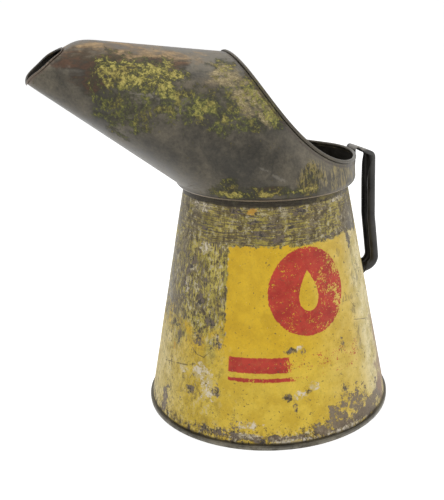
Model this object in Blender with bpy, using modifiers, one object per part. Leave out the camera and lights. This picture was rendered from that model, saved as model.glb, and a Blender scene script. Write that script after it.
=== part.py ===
"""A sheet-metal oil jug: a conical body on a folded base, and above it a collar that runs
out forwards into a broad hooded spout, with a strap handle at the back.

Lengths are in metres and +Z is up. The spout points along -X and the handle lies at +X.
The jug stands on the ground at z = 0. Pieces that touch in the real jug are kept apart by
CLEARANCE.
"""

import math

import bmesh
import bpy
from mathutils import Vector

# Shared values
CLEARANCE = 0.0003
CUT_OVERRUN = 0.002
ROUND_STEPS = 72
WELD = 0.00001
SMOOTH_ANGLE = math.radians(35)

# Body: a cone with a short upright neck and an outward flange at the foot
BASE_RADIUS = 0.1032
NECK_RADIUS = 0.0679
SHOULDER_HEIGHT = 0.1876
BODY_SHEET = 0.0008
BODY_FLANGE = 0.001

# Side seam of the body, on the side away from the panel
SIDE_SEAM_WIDTH = 0.006
SIDE_SEAM_PROUD = 0.0008
SIDE_SEAM_SUNK = 0.0004
SIDE_SEAM_STOP = 0.0025

# Base: a recessed disc whose edge folds round the foot of the body
BASE_SHEET = 0.0008
BASE_RECESS = 0.0045
CHIME_HEIGHT = 0.0042
BASE_SOLDER_HEIGHT = 0.0014

# Collar and shoulder of the hood
HOOD_SHEET = 0.0006
COLLAR_RADIUS = 0.0743
COLLAR_BOTTOM = 0.0049
SHOULDER_BAND = 0.0034
SHOULDER_STEPS = 4
NECK_RISE = 0.002
SHOULDER_SOLDER_WIDTH = 0.0011
SHOULDER_SOLDER_HEIGHT = 0.0008

# Hood and spout, seen from the side. Places ahead of the jug's axis are negative.
SPOUT_REACH = 0.1809
SPOUT_SLOPE = math.radians(37.9)
SPOUT_NARROWING = 0.0806
HOOD_LEAN = math.radians(3.8)
MOUTH_LENGTH = 0.0277
MOUTH_RISE = 0.0246
BROW_LENGTH = 0.0176
BROW_DROP = 0.0079
BROW_SPREAD = 0.3
RIDGE_SLOPE = math.radians(7.1)
RIDGE_BACK = -0.0325
REAR_RIM_RISE = 0.0145
REAR_LEAD = 0.006
REAR_DROP = 0.0073
REAR_RUN = 0.0735
REAR_DIP = 0.0097
MOUTH_LIFT = 0.0093
MOUTH_LEAD = 0.0004
MOUTH_RUN = 0.0143
MOUTH_SAG = 0.025
ROOF_ROUNDNESS = 2
MOUTH_BOW_FADE = 3
SPOUT_STATIONS = 9
COLLAR_STATIONS = 20
RIDGE_CROWDING = 1.5
REAR_STATIONS = 18
RISE_STEPS = 18
SPACING_FADE_STATIONS = 5

# Rolled edges: the rear one closes over a wire, and the mouth's is hollow
RIM_WIRE_RADIUS = 0.0006
RIM_ROLL_REACH = 0.0014
RIM_ROLL_TURN = math.radians(250)
RIM_ROLL_STEPS = 7
MOUTH_ROLL_RADIUS = 0.0004
MOUTH_ROLL_REACH = 0.0005
MOUTH_ROLL_TURN = math.radians(215)
MOUTH_ROLL_STEPS = 5

# Handle: a strap whose edges are curled in along the grip and opened flat at both feet
STRAP_SHEET = 0.001
STRAP_FLAT = 0.011
STRAP_CURL_WIDTH = 0.0125
STRAP_CURL_TURN = math.radians(192)
STRAP_CURL_RUN = 0.014
ARM_CURL_RUN = 0.004
ARM_CURL_WIDTH = 0.0052
ARM_CURL_TURN = math.radians(60)
BEND_CURL_WIDTH = 0.0062
BEND_CURL_TURN = math.radians(95)
FOOT_CURL_WIDTH = 0.003
FOOT_CURL_TURN = math.radians(6)
TOP_FOOT_LENGTH = 0.018
TOP_FOOT_RISE = 0.0054
ARM_LENGTH = 0.0206
ARM_DROP = 0.008
GRIP_MIDDLE_OUT = 0.0015
GRIP_MIDDLE_DROP = 0.0558
GRIP_FOOT_OUT = 0.0074
GRIP_FOOT_RISE = 0.005
LOWER_FOOT_HEIGHT = 0.0995
LOWER_FOOT_LENGTH = 0.013
ARM_BEND = 0.003
GRIP_TOP_BEND = 0.0058
GRIP_MIDDLE_BEND = 0.04
GRIP_FOOT_BEND = 0.0125
FOOT_BEND = 0.003
BEND_STEPS = 5
STRAP_HALF_STEPS = 7
STRAP_STEP = 0.009

# Solder pads under the two feet of the handle
LOWER_PAD_THICKNESS = 0.0005
PAD_MARGIN = 0.001


def cone_radius(height):
    """Outer radius of the body's cone at a height above the ground."""
    share = (height - CHIME_HEIGHT) / (SHOULDER_HEIGHT - CHIME_HEIGHT)
    return BASE_RADIUS + share * (NECK_RADIUS - BASE_RADIUS)


CHIME_INNER = BASE_RADIUS + BODY_FLANGE + CLEARANCE
CHIME_RADIUS = CHIME_INNER + BASE_SHEET
BAND_RADIUS = NECK_RADIUS + CLEARANCE + HOOD_SHEET
BAND_TOP = SHOULDER_HEIGHT + SHOULDER_BAND
COLLAR_HEIGHT = BAND_TOP + COLLAR_BOTTOM
RIM_ROLL_RADIUS = RIM_WIRE_RADIUS + CLEARANCE
RIDGE_STATIONS = SPOUT_STATIONS + COLLAR_STATIONS - REAR_STATIONS
TIP_HEIGHT = COLLAR_HEIGHT + (SPOUT_REACH - COLLAR_RADIUS) * math.tan(SPOUT_SLOPE)
RIDGE_FRONT = MOUTH_LENGTH - SPOUT_REACH
REAR_RIM_HEIGHT = COLLAR_HEIGHT + REAR_RIM_RISE
STRAP_FACE = COLLAR_RADIUS + RIM_ROLL_RADIUS + HOOD_SHEET + CLEARANCE + STRAP_SHEET
ARM_HEIGHT = REAR_RIM_HEIGHT + TOP_FOOT_RISE
GRIP_TOP_REACH = STRAP_FACE + ARM_LENGTH
GRIP_TOP_HEIGHT = ARM_HEIGHT - ARM_DROP
GRIP_MIDDLE_HEIGHT = GRIP_TOP_HEIGHT - GRIP_MIDDLE_DROP
AXIS_X = (SPOUT_REACH + MOUTH_ROLL_REACH + MOUTH_ROLL_RADIUS + HOOD_SHEET / 2 - CHIME_RADIUS) / 2


def clear_scene():
    for old in list(bpy.data.objects):
        bpy.data.objects.remove(old, do_unlink=True)


def new_collection(name):
    collection = bpy.data.collections.new(name)
    bpy.context.scene.collection.children.link(collection)
    return collection


def new_material(name, colour, roughness, metallic):
    material = bpy.data.materials.new(name)
    material.use_nodes = True
    shader = material.node_tree.nodes["Principled BSDF"]
    shader.inputs["Base Color"].default_value = (*colour, 1)
    shader.inputs["Roughness"].default_value = roughness
    shader.inputs["Metallic"].default_value = metallic
    return material


def add_object(name, data, collection, material, centre):
    piece = bpy.data.objects.new(name, data)
    collection.objects.link(piece)
    data.materials.append(material)
    piece.parent = centre
    return piece


def shade_smooth(mesh):
    mesh.shade_smooth()
    mesh.set_sharp_from_angle(angle=SMOOTH_ANGLE)


def add_wall(piece, thickness):
    """Gives an open surface its sheet thickness on the side away from its normals."""
    solidify = piece.modifiers.new("sheet", "SOLIDIFY")
    solidify.thickness = thickness
    solidify.offset = -1
    solidify.use_even_offset = True
    solidify.use_quality_normals = True


def turned(name, profile, collection, material, centre, closed=False):
    """Turns a profile of (radius, height) points, run down its outer side, about the axis."""
    mesh = bpy.data.meshes.new(name)
    edges = [(i, i + 1) for i in range(len(profile) - 1)]
    if closed:
        edges.append((len(profile) - 1, 0))
    mesh.from_pydata([(radius, 0, height) for radius, height in profile], edges, [])
    piece = add_object(name, mesh, collection, material, centre)
    screw = piece.modifiers.new("turn", "SCREW")
    screw.steps = ROUND_STEPS
    screw.render_steps = ROUND_STEPS
    screw.use_merge_vertices = True
    screw.merge_threshold = WELD
    screw.use_smooth_shade = True
    return piece


def ring_profile(inner, outer, bottom, top):
    return [(outer, top), (outer, bottom), (inner, bottom), (inner, top)]


def boolean(piece, helper, operation):
    modifier = piece.modifiers.new(helper.name, "BOOLEAN")
    modifier.operation = operation
    modifier.object = helper
    modifier.solver = "EXACT"


def hide_helper(helper):
    helper.hide_render = True
    helper.display_type = "WIRE"


def box_mesh(name, size):
    mesh = bpy.data.meshes.new(name)
    shape = bmesh.new()
    bmesh.ops.create_cube(shape, size=1)
    bmesh.ops.scale(shape, vec=Vector(size), verts=shape.verts)
    shape.to_mesh(mesh)
    shape.free()
    return mesh


def make_body(parts, helpers, material, centre):
    flange_top = BASE_SHEET + CLEARANCE + BODY_SHEET
    profile = [
        (NECK_RADIUS, BAND_TOP + NECK_RISE),
        (NECK_RADIUS, SHOULDER_HEIGHT),
        (BASE_RADIUS, CHIME_HEIGHT),
        (BASE_RADIUS, flange_top),
        (BASE_RADIUS + BODY_FLANGE, flange_top),
    ]
    body = turned("body_shell", profile, parts, material, centre)
    add_wall(body, BODY_SHEET)
    low = CHIME_HEIGHT + SIDE_SEAM_STOP
    high = SHOULDER_HEIGHT - SIDE_SEAM_STOP
    rise = high - low
    run = cone_radius(low) - cone_radius(high)
    depth = SIDE_SEAM_PROUD + SIDE_SEAM_SUNK
    mesh = box_mesh("side_seam", (SIDE_SEAM_WIDTH, depth, math.hypot(rise, run)))
    seam = add_object("side_seam", mesh, helpers, material, centre)
    outward = (SIDE_SEAM_PROUD - SIDE_SEAM_SUNK) / 2
    seam.location = (0, cone_radius((low + high) / 2) + outward, (low + high) / 2)
    seam.rotation_euler = (math.atan2(run, rise), 0, 0)
    hide_helper(seam)
    boolean(body, seam, "UNION")


def make_base(parts, material, solder, centre):
    countersink = BASE_RADIUS - BODY_SHEET - CLEARANCE - BASE_SHEET
    profile = [
        (CHIME_RADIUS, CHIME_HEIGHT),
        (CHIME_RADIUS, 0),
        (countersink, 0),
        (countersink, BASE_RECESS),
        (0, BASE_RECESS),
    ]
    base = turned("base_plate", profile, parts, material, centre)
    add_wall(base, BASE_SHEET)
    bottom = BASE_SHEET + BODY_SHEET + CLEARANCE + CLEARANCE
    section = ring_profile(
        BASE_RADIUS + CLEARANCE, CHIME_INNER - CLEARANCE, bottom, bottom + BASE_SOLDER_HEIGHT
    )
    turned("base_seam_solder", section, parts, solder, centre, closed=True)


def make_shoulder_solder(parts, solder, centre):
    inner = NECK_RADIUS + CLEARANCE
    bottom = BAND_TOP + HOOD_SHEET + CLEARANCE + CLEARANCE
    section = ring_profile(
        inner, inner + SHOULDER_SOLDER_WIDTH, bottom, bottom + SHOULDER_SOLDER_HEIGHT
    )
    turned("shoulder_seam_solder", section, parts, solder, centre, closed=True)


def ridge_height(x):
    """Height of the top line of the hood, before its front is bent down."""
    return TIP_HEIGHT + MOUTH_RISE + BROW_DROP - math.tan(RIDGE_SLOPE) * (x - RIDGE_FRONT)


def roof_share(x, z):
    """0 on the ridge, rising to 1 at the collar's height."""
    return 1 - max((z - COLLAR_HEIGHT) / (ridge_height(x) - COLLAR_HEIGHT), 0) ** ROOF_ROUNDNESS


def brow_drop(x, z):
    """How far the roof is bent down over the mouth, most of all along the ridge."""
    ahead = max(RIDGE_FRONT + BROW_LENGTH - x, 0) / BROW_LENGTH
    under_ridge = max(1 - roof_share(x, z) / BROW_SPREAD, 0)
    return BROW_DROP * (ahead * under_ridge) ** 2


def half_width_squared(x, z):
    """Square of the hood's half width at a place in its plane of symmetry.

    Every level section is a round from the spout's lower line back to the collar's back,
    flattened by the roof above it and narrowed ahead of the collar.
    """
    above = z - COLLAR_HEIGHT
    overhang = above / math.tan(SPOUT_SLOPE)
    length = COLLAR_RADIUS + overhang / 2
    side = COLLAR_RADIUS + above * math.tan(HOOD_LEAN)
    ahead = max(-COLLAR_RADIUS - x, 0)
    narrowing = 1 + (ahead / SPOUT_NARROWING) ** 2
    section = (x + COLLAR_RADIUS + overhang) * (COLLAR_RADIUS - x)
    return (side / length) ** 2 * section * roof_share(x, z) / narrowing


def hood_point(place, on_plane):
    """The point of the hood's near side over a place (x, z) of its plane of symmetry."""
    x, z = place
    half_width = 0 if on_plane else math.sqrt(max(half_width_squared(x, z), 0))
    return Vector((x, -half_width, z - brow_drop(x, z)))


def hood_normal(point):
    """Outward normal of the hood behind its brow, from the slope of its half width."""
    step = HOOD_SHEET
    x, y, z = point
    slope_x = (half_width_squared(x + step, z) - half_width_squared(x - step, z)) / (2 * step)
    slope_z = (half_width_squared(x, z + step) - half_width_squared(x, z - step)) / (2 * step)
    return Vector((-slope_x, 2 * y, -slope_z)).normalized()


def bezier(points, t):
    a, b, c, d = points
    s = 1 - t
    return s * s * s * a + 3 * s * s * t * b + 3 * s * t * t * c + t * t * t * d


def hood_corners():
    """Tip, front and back of the collar's lower edge, rear rim, and the ridge's two ends."""
    return {
        "tip": Vector((-SPOUT_REACH, TIP_HEIGHT)),
        "front": Vector((-COLLAR_RADIUS, COLLAR_HEIGHT)),
        "back": Vector((COLLAR_RADIUS, COLLAR_HEIGHT)),
        "rim": Vector((COLLAR_RADIUS, REAR_RIM_HEIGHT)),
        "ridge_front": Vector((RIDGE_FRONT, ridge_height(RIDGE_FRONT))),
        "ridge_back": Vector((RIDGE_BACK, ridge_height(RIDGE_BACK))),
    }


def lower_line(corners):
    """Places along the spout's lower line and round the collar's lower edge."""
    places = []
    for i in range(SPOUT_STATIONS):
        places.append(corners["tip"].lerp(corners["front"], i / SPOUT_STATIONS))
    for i in range(COLLAR_STATIONS + 1):
        angle = math.pi * i / COLLAR_STATIONS
        places.append(Vector((-COLLAR_RADIUS * math.cos(angle), COLLAR_HEIGHT)))
    return places


def upper_line(corners):
    """Places along the ridge and down the rear cut, one for each place of the lower line."""
    first, last, rim = corners["ridge_front"], corners["ridge_back"], corners["rim"]
    rear = [last, last + Vector((REAR_LEAD, -REAR_DROP)), rim - Vector((REAR_RUN, REAR_DIP)), rim]
    places = []
    for i in range(RIDGE_STATIONS):
        places.append(first.lerp(last, (i / RIDGE_STATIONS) ** RIDGE_CROWDING))
    for i in range(REAR_STATIONS + 1):
        places.append(bezier(rear, (1 - math.cos(math.pi * i / REAR_STATIONS)) / 2))
    return places


def rise_share(i, j):
    """How far up column i its row j lies. Rows draw together where the side turns over
    quickly: under the ridge, and along the spout's lower line."""
    even = j / RISE_STEPS
    at_top = math.sin(math.pi / 2 * even)
    at_both = (1 - math.cos(math.pi * even)) / 2
    past_spout = min(max((i - SPOUT_STATIONS) / SPACING_FADE_STATIONS, 0), 1)
    past_ridge = min(max((i - RIDGE_STATIONS) / SPACING_FADE_STATIONS, 0), 1)
    under_ridge = at_both + (at_top - at_both) * past_spout
    return under_ridge + (even - under_ridge) * past_ridge


def hood_places():
    """A patch of places stretched between the hood's outlines, in columns that rise from
    the lower line to the upper one. Each column takes more of the mouth's bow the nearer
    it lies to it."""
    corners = hood_corners()
    tip, first = corners["tip"], corners["ridge_front"]
    mouth = [tip, tip + Vector((MOUTH_LEAD, MOUTH_LIFT)), first - Vector((MOUTH_RUN, MOUTH_SAG)), first]
    columns = []
    for i, (low, top) in enumerate(zip(lower_line(corners), upper_line(corners))):
        fade = max(1 - i / RIDGE_STATIONS, 0) ** MOUTH_BOW_FADE
        column = []
        for j in range(RISE_STEPS + 1):
            share = rise_share(i, j)
            bow = bezier(mouth, share) - tip.lerp(first, share)
            column.append(low.lerp(top, share) + bow * fade)
        columns.append(column)
    return columns


def hood_points():
    """The near half of the hood as columns of points. The spout's lower line, the ridge and
    the collar's back lie on the plane of symmetry."""
    columns = hood_places()
    points = []
    for i, column in enumerate(columns):
        line = []
        for j, place in enumerate(column):
            on_ridge = j == RISE_STEPS and i <= RIDGE_STATIONS
            on_spout = j == 0 and i <= SPOUT_STATIONS
            line.append(hood_point(place, on_ridge or on_spout or i == len(columns) - 1))
        points.append(line)
    return points


def edge_direction(edge, i):
    """Direction of an edge at one of its points. It crosses the plane of symmetry level."""
    if i in (0, len(edge) - 1):
        return Vector((0, 1, 0))
    return (edge[i + 1] - edge[i - 1]).normalized()


def rear_frames(points):
    """Along the rear cut, from the rim up to the ridge: the point, the sheet's outward
    normal, and the direction that leaves the sheet across the cut."""
    cut = [line[-1] for line in reversed(points[RIDGE_STATIONS:])]
    frames = []
    for i, point in enumerate(cut):
        normal = hood_normal(point)
        across = edge_direction(cut, i).cross(normal).normalized()
        if across.x + across.z < 0:
            across = -across
        frames.append((point, normal, across))
    return frames


def mouth_frames(points):
    """The same along the mouth, from the tip up to the ridge, with the sheet's slope taken
    from the next column of points."""
    frames = []
    for i, (point, behind) in enumerate(zip(points[0], points[1])):
        along = edge_direction(points[0], i)
        ahead = point - behind
        across = (ahead - along * ahead.dot(along)).normalized()
        normal = along.cross(across)
        if i == 0:
            normal = -normal
        frames.append((point, normal, across))
    return frames


def roll_lines(frames, radius, reach, turn, steps):
    """Lines of points that carry the sheet over an edge into an outward roll."""
    lines = []
    for k in range(steps + 1):
        angle = turn * k / steps
        out = -radius * math.cos(angle)
        beyond = reach + radius * math.sin(angle)
        lines.append([p + n * out + a * beyond for p, n, a in frames])
    return lines


def shoulder_profile():
    """(radius, height) points from the collar's lower edge in to the band on the neck."""
    points = []
    for k in range(1, SHOULDER_STEPS + 1):
        angle = math.pi / 2 * k / SHOULDER_STEPS
        radius = BAND_RADIUS + (COLLAR_RADIUS - BAND_RADIUS) * math.cos(angle)
        height = COLLAR_HEIGHT - COLLAR_BOTTOM * math.sin(angle)
        points.append((radius, height))
    points.append((BAND_RADIUS, SHOULDER_HEIGHT))
    return points


def stitch(shape, before, after):
    """Faces between two lines of vertices."""
    for a, b, c, d in zip(before, before[1:], after[1:], after):
        shape.faces.new((a, b, c, d))


def make_hood(parts, material, centre):
    points = hood_points()
    shape = bmesh.new()
    columns = [[shape.verts.new(p) for p in line] for line in points]
    for before, after in zip(columns, columns[1:]):
        stitch(shape, before, after)
    cut = [column[-1] for column in reversed(columns[RIDGE_STATIONS:])]
    rim_roll = roll_lines(
        rear_frames(points), RIM_ROLL_RADIUS, RIM_ROLL_REACH, RIM_ROLL_TURN, RIM_ROLL_STEPS
    )
    mouth_roll = roll_lines(
        mouth_frames(points), MOUTH_ROLL_RADIUS, MOUTH_ROLL_REACH, MOUTH_ROLL_TURN,
        MOUTH_ROLL_STEPS
    )
    for last, lines in ((cut, rim_roll), (columns[0], mouth_roll)):
        for line in lines:
            new = [shape.verts.new(p) for p in line]
            stitch(shape, last, new)
            last = new
    foot = [column[0] for column in columns[SPOUT_STATIONS:]]
    last = foot
    for radius, height in shoulder_profile():
        share = radius / COLLAR_RADIUS
        new = [shape.verts.new((v.co.x * share, v.co.y * share, height)) for v in foot]
        stitch(shape, last, new)
        last = new
    bmesh.ops.recalc_face_normals(shape, faces=shape.faces)
    side = max(shape.faces, key=lambda face: -face.calc_center_median().y)
    if side.normal.y > 0:
        bmesh.ops.reverse_faces(shape, faces=shape.faces)
    mesh = bpy.data.meshes.new("hood")
    shape.to_mesh(mesh)
    shape.free()
    shade_smooth(mesh)
    hood = add_object("hood", mesh, parts, material, centre)
    mirror = hood.modifiers.new("far_half", "MIRROR")
    mirror.use_axis = (False, True, False)
    mirror.use_mirror_merge = True
    mirror.merge_threshold = WELD
    add_wall(hood, HOOD_SHEET)


def make_rim_wire(parts, material, centre):
    near = [p + a * RIM_ROLL_REACH for p, n, a in rear_frames(hood_points())]
    far = [Vector((p.x, -p.y, p.z)) for p in reversed(near[1:-1])]
    loop = near + far
    curve = bpy.data.curves.new("rear_rim_wire", "CURVE")
    curve.dimensions = "3D"
    curve.bevel_depth = RIM_WIRE_RADIUS
    curve.bevel_resolution = 2
    spline = curve.splines.new("POLY")
    spline.points.add(len(loop) - 1)
    for point, place in zip(spline.points, loop):
        point.co = (*place, 1)
    spline.use_cyclic_u = True
    add_object("rear_rim_wire", curve, parts, material, centre)


def handle_corners():
    """Corners of the strap's outer face in the plane of symmetry, with the radius of each
    bend."""
    pad = CLEARANCE + LOWER_PAD_THICKNESS + CLEARANCE + STRAP_SHEET
    lower = LOWER_FOOT_HEIGHT - LOWER_FOOT_LENGTH
    return [
        (Vector((STRAP_FACE, ARM_HEIGHT - TOP_FOOT_LENGTH)), 0),
        (Vector((STRAP_FACE, ARM_HEIGHT)), ARM_BEND),
        (Vector((GRIP_TOP_REACH, GRIP_TOP_HEIGHT)), GRIP_TOP_BEND),
        (Vector((GRIP_TOP_REACH + GRIP_MIDDLE_OUT, GRIP_MIDDLE_HEIGHT)), GRIP_MIDDLE_BEND),
        (Vector((GRIP_TOP_REACH + GRIP_FOOT_OUT, LOWER_FOOT_HEIGHT + GRIP_FOOT_RISE)), GRIP_FOOT_BEND),
        (Vector((cone_radius(LOWER_FOOT_HEIGHT) + pad, LOWER_FOOT_HEIGHT)), FOOT_BEND),
        (Vector((cone_radius(lower) + pad, lower)), 0),
    ]


def bend_points(before, corner, after, radius):
    """An arc of a given radius fitted into a corner."""
    back = (before - corner).normalized()
    onward = (after - corner).normalized()
    half = back.angle(onward) / 2
    start = corner + back * (radius / math.tan(half))
    end = corner + onward * (radius / math.tan(half))
    centre = corner + (back + onward).normalized() * (radius / math.sin(half))
    points = []
    for k in range(BEND_STEPS + 1):
        arm = (start - centre).lerp(end - centre, k / BEND_STEPS)
        points.append(centre + arm.normalized() * radius)
    return points


def handle_path():
    """The strap's outer face from the top foot's end to the lower foot's end."""
    corners = handle_corners()
    turns = [[corners[0][0]]]
    for (before, _), (corner, radius), (after, _) in zip(corners, corners[1:], corners[2:]):
        turns.append(bend_points(before, corner, after, radius))
    turns.append([corners[-1][0]])
    path = []
    for turn, following in zip(turns, turns[1:]):
        path += turn
        run = following[0] - turn[-1]
        cuts = max(math.ceil(run.length / STRAP_STEP), 1)
        path += [turn[-1] + run * (k / cuts) for k in range(1, cuts)]
    return path + turns[-1]


def ease(value, start, end):
    """Smooth rise from 0 at start to 1 at end."""
    t = min(max((value - start) / (end - start), 0), 1)
    return t * t * (3 - 2 * t)


def strap_section(x, z):
    """Width and turn of the curled edge where the strap's outer face passes (x, z): open at
    the feet, half closed round the top bend and closed along the grip."""
    arm_start = STRAP_FACE + ARM_BEND
    arm_curled = arm_start + ARM_CURL_RUN
    arm = ease(x, arm_start, arm_curled)
    bend = ease(x, arm_curled, GRIP_TOP_REACH - GRIP_TOP_BEND)
    past_bend = ease(GRIP_TOP_HEIGHT - GRIP_TOP_BEND - z, 0, STRAP_CURL_RUN)
    above_foot = ease(z, LOWER_FOOT_HEIGHT, LOWER_FOOT_HEIGHT + FOOT_BEND)
    grip = min(bend, past_bend, above_foot)
    width = FOOT_CURL_WIDTH
    turn = FOOT_CURL_TURN
    stages = (
        (arm, ARM_CURL_WIDTH, ARM_CURL_TURN),
        (bend, BEND_CURL_WIDTH, BEND_CURL_TURN),
        (grip, STRAP_CURL_WIDTH, STRAP_CURL_TURN),
    )
    for share, next_width, next_turn in stages:
        width += (next_width - width) * share
        turn += (next_turn - turn) * share
    if z < GRIP_MIDDLE_HEIGHT:
        width = FOOT_CURL_WIDTH + (STRAP_CURL_WIDTH - FOOT_CURL_WIDTH) * grip
        turn = FOOT_CURL_TURN + (STRAP_CURL_TURN - FOOT_CURL_TURN) * grip
    return width, turn


def make_handle(parts, material, centre):
    path = handle_path()
    shape = bmesh.new()
    rows = []
    for i, place in enumerate(path):
        along = (path[min(i + 1, len(path) - 1)] - path[max(i - 1, 0)]).normalized()
        inward = Vector((-along.y, along.x)) * -1
        width, turn = strap_section(*place)
        radius = width / turn
        offsets = [(0, 0), (STRAP_FLAT / 2, 0)]
        for k in range(1, STRAP_HALF_STEPS + 1):
            angle = turn * k / STRAP_HALF_STEPS
            offsets.append((STRAP_FLAT / 2 + radius * math.sin(angle), radius * (1 - math.cos(angle))))
        full = [(-y, depth) for y, depth in reversed(offsets[1:])] + offsets
        rows.append([
            shape.verts.new((place.x + inward.x * depth, y, place.y + inward.y * depth))
            for y, depth in full
        ])
    for before, after in zip(rows, rows[1:]):
        stitch(shape, before, after)
    bmesh.ops.recalc_face_normals(shape, faces=shape.faces)
    grip = max(shape.faces, key=lambda face: face.calc_center_median().x)
    if grip.normal.x < 0:
        bmesh.ops.reverse_faces(shape, faces=shape.faces)
    mesh = bpy.data.meshes.new("handle")
    shape.to_mesh(mesh)
    shape.free()
    shade_smooth(mesh)
    handle = add_object("handle", mesh, parts, material, centre)
    add_wall(handle, STRAP_SHEET)


def solder_pad(name, bottom, top, inner_low, inner_high, outer_low, outer_high, parts, helpers,
               material, centre):
    """A pad under a foot of the handle: a plate from the foot in to the round wall behind,
    which a turned cutter gives its hollow face."""
    width = STRAP_FLAT + FOOT_CURL_WIDTH * 2 - PAD_MARGIN * 2
    deep = min(inner_low, inner_high) - BODY_SHEET - CUT_OVERRUN
    shape = bmesh.new()
    corners = [(deep, bottom), (outer_low, bottom), (outer_high, top), (deep, top)]
    face = shape.faces.new([shape.verts.new((x, -width / 2, z)) for x, z in corners])
    drawn = bmesh.ops.extrude_face_region(shape, geom=[face])
    moved = [item for item in drawn["geom"] if isinstance(item, bmesh.types.BMVert)]
    bmesh.ops.translate(shape, vec=(0, width, 0), verts=moved)
    bmesh.ops.recalc_face_normals(shape, faces=shape.faces)
    mesh = bpy.data.meshes.new(name)
    shape.to_mesh(mesh)
    shape.free()
    pad = add_object(name, mesh, parts, material, centre)
    slope = (inner_high - inner_low) / (top - bottom)
    low, high = bottom - CUT_OVERRUN, top + CUT_OVERRUN
    profile = [
        (0, high),
        (inner_high + slope * CUT_OVERRUN, high),
        (inner_low - slope * CUT_OVERRUN, low),
        (0, low),
    ]
    cutter = turned(name + "_cutter", profile, helpers, material, centre)
    hide_helper(cutter)
    boolean(pad, cutter, "DIFFERENCE")


def make_solder_pads(parts, helpers, material, centre):
    corners = handle_corners()
    foot_x = STRAP_FACE - STRAP_SHEET - CLEARANCE
    bottom = corners[0][0].y + PAD_MARGIN
    top = REAR_RIM_HEIGHT - PAD_MARGIN
    wall = COLLAR_RADIUS + CLEARANCE
    solder_pad("handle_top_solder", bottom, top, wall, wall, foot_x, foot_x, parts, helpers,
               material, centre)
    bottom = corners[-1][0].y + PAD_MARGIN
    top = corners[-2][0].y - FOOT_BEND
    inner = [cone_radius(z) + CLEARANCE for z in (bottom, top)]
    outer = [x + LOWER_PAD_THICKNESS for x in inner]
    solder_pad("handle_foot_solder", bottom, top, *inner, *outer, parts, helpers, material, centre)


def main():
    clear_scene()
    parts = new_collection("oil_jug")
    helpers = new_collection("helpers")
    centre = bpy.data.objects.new("jug_axis", None)
    parts.objects.link(centre)
    centre.location = (AXIS_X, 0, 0)
    paint = new_material("worn_yellow_paint", (0.55, 0.38, 0.06), 0.55, 0)
    steel = new_material("weathered_steel", (0.12, 0.115, 0.1), 0.5, 0.8)
    black = new_material("black_enamel", (0.01, 0.01, 0.01), 0.35, 0)
    solder = new_material("grey_solder", (0.4, 0.4, 0.38), 0.45, 1)
    make_body(parts, helpers, paint, centre)
    make_base(parts, steel, solder, centre)
    make_shoulder_solder(parts, solder, centre)
    make_hood(parts, steel, centre)
    make_rim_wire(parts, steel, centre)
    make_handle(parts, black, centre)
    make_solder_pads(parts, helpers, solder, centre)


main()
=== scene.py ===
"""Looks of a sheet-metal oil jug: worn yellow enamel over a steel cone, a dark weathered hood
with a wired rim, and a black strap handle.

Lengths are in metres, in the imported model's own frame: +Z is up, the spout points along -X
and the handle lies at +X. Angles round the jug are in degrees, 0 at its near side (-Y) and
rising towards the handle. Only the tables of places and scratches are in millimetres.
"""

import math

import bpy
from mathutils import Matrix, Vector
from mathutils.bvhtree import BVHTree
from mathutils.kdtree import KDTree


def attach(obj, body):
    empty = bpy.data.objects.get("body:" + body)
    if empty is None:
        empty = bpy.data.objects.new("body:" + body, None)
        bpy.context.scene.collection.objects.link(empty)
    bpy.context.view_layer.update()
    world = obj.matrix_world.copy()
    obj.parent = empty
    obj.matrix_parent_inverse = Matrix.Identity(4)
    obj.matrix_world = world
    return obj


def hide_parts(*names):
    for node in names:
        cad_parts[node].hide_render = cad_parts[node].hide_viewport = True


# Camera at the photograph's angle
CAMERA_PLACE = (-0.1728, -0.59973, 0.34371)
CAMERA_TURN = (71.3251, 1.0176, -19.0215)
CAMERA_LENS = 56.64
CAMERA_SENSOR = 36
CAMERA_SHIFT_X = -0.0697
CAMERA_SHIFT_Y = 0.0031
CAMERA_NEAREST = 0.01

# Lamps: name, place, size and power
LAMPS = (
    ("key_lamp", (-0.9, -1.1, 1.3), 1.2, 14),
    ("fill_lamp", (1.2, -0.7, 0.6), 1.2, 6),
    ("top_lamp", (0.1, 0.5, 1.6), 1.4, 8),
)
LAMP_TARGET = (0.02, 0, 0.15)
ROOM_LIGHT = 0.55
FLOOR_SIZE = 60
FLOOR_GREY = 0.82
FLOOR_GLOW = 0.55
WHITE = (1, 1, 1, 1)

# Sizes shared with the solids
AXIS_X = 0.0384
BASE_RADIUS = 0.1032
CHIME_HEIGHT = 0.0042
FLANGE_TOP = 0.0019
FLANGE_RADIUS = 0.1042
NECK_RADIUS = 0.0679
NECK_TOP = 0.193
SHOULDER_HEIGHT = 0.1876
BODY_SHEET = 0.0008
HOOD_SHEET = 0.0006
CHIME_RADIUS = 0.1053
COUNTERSINK_RADIUS = 0.1013
BASE_RECESS = 0.0045

# Details of the visual pieces
BODY_RINGS = 34
BODY_SIDES = 144
BODY_DENT = 0.0005
BODY_DENT_SPREAD = 0.03
BODY_DENT_MARGIN = 0.02
SEAM_WIDTH = 0.006
SEAM_THICKNESS = 0.0012
SEAM_ENDS = 0.0025
SEAM_PROUD = 0.0002
SEAM_ROUNDING = 0.0004
PAD_ROUNDING = 0.0003
FOOT_ROUNDING = 0.0006
PRESSED_RING_DEPTH = 0.0007
MOUTH_REACH = -0.09
SAME_CORNER = 0.00001
QUAD_BEND = 50
QUAD_SKEW = 60
CUT_EDGE_TURN = 62

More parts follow.
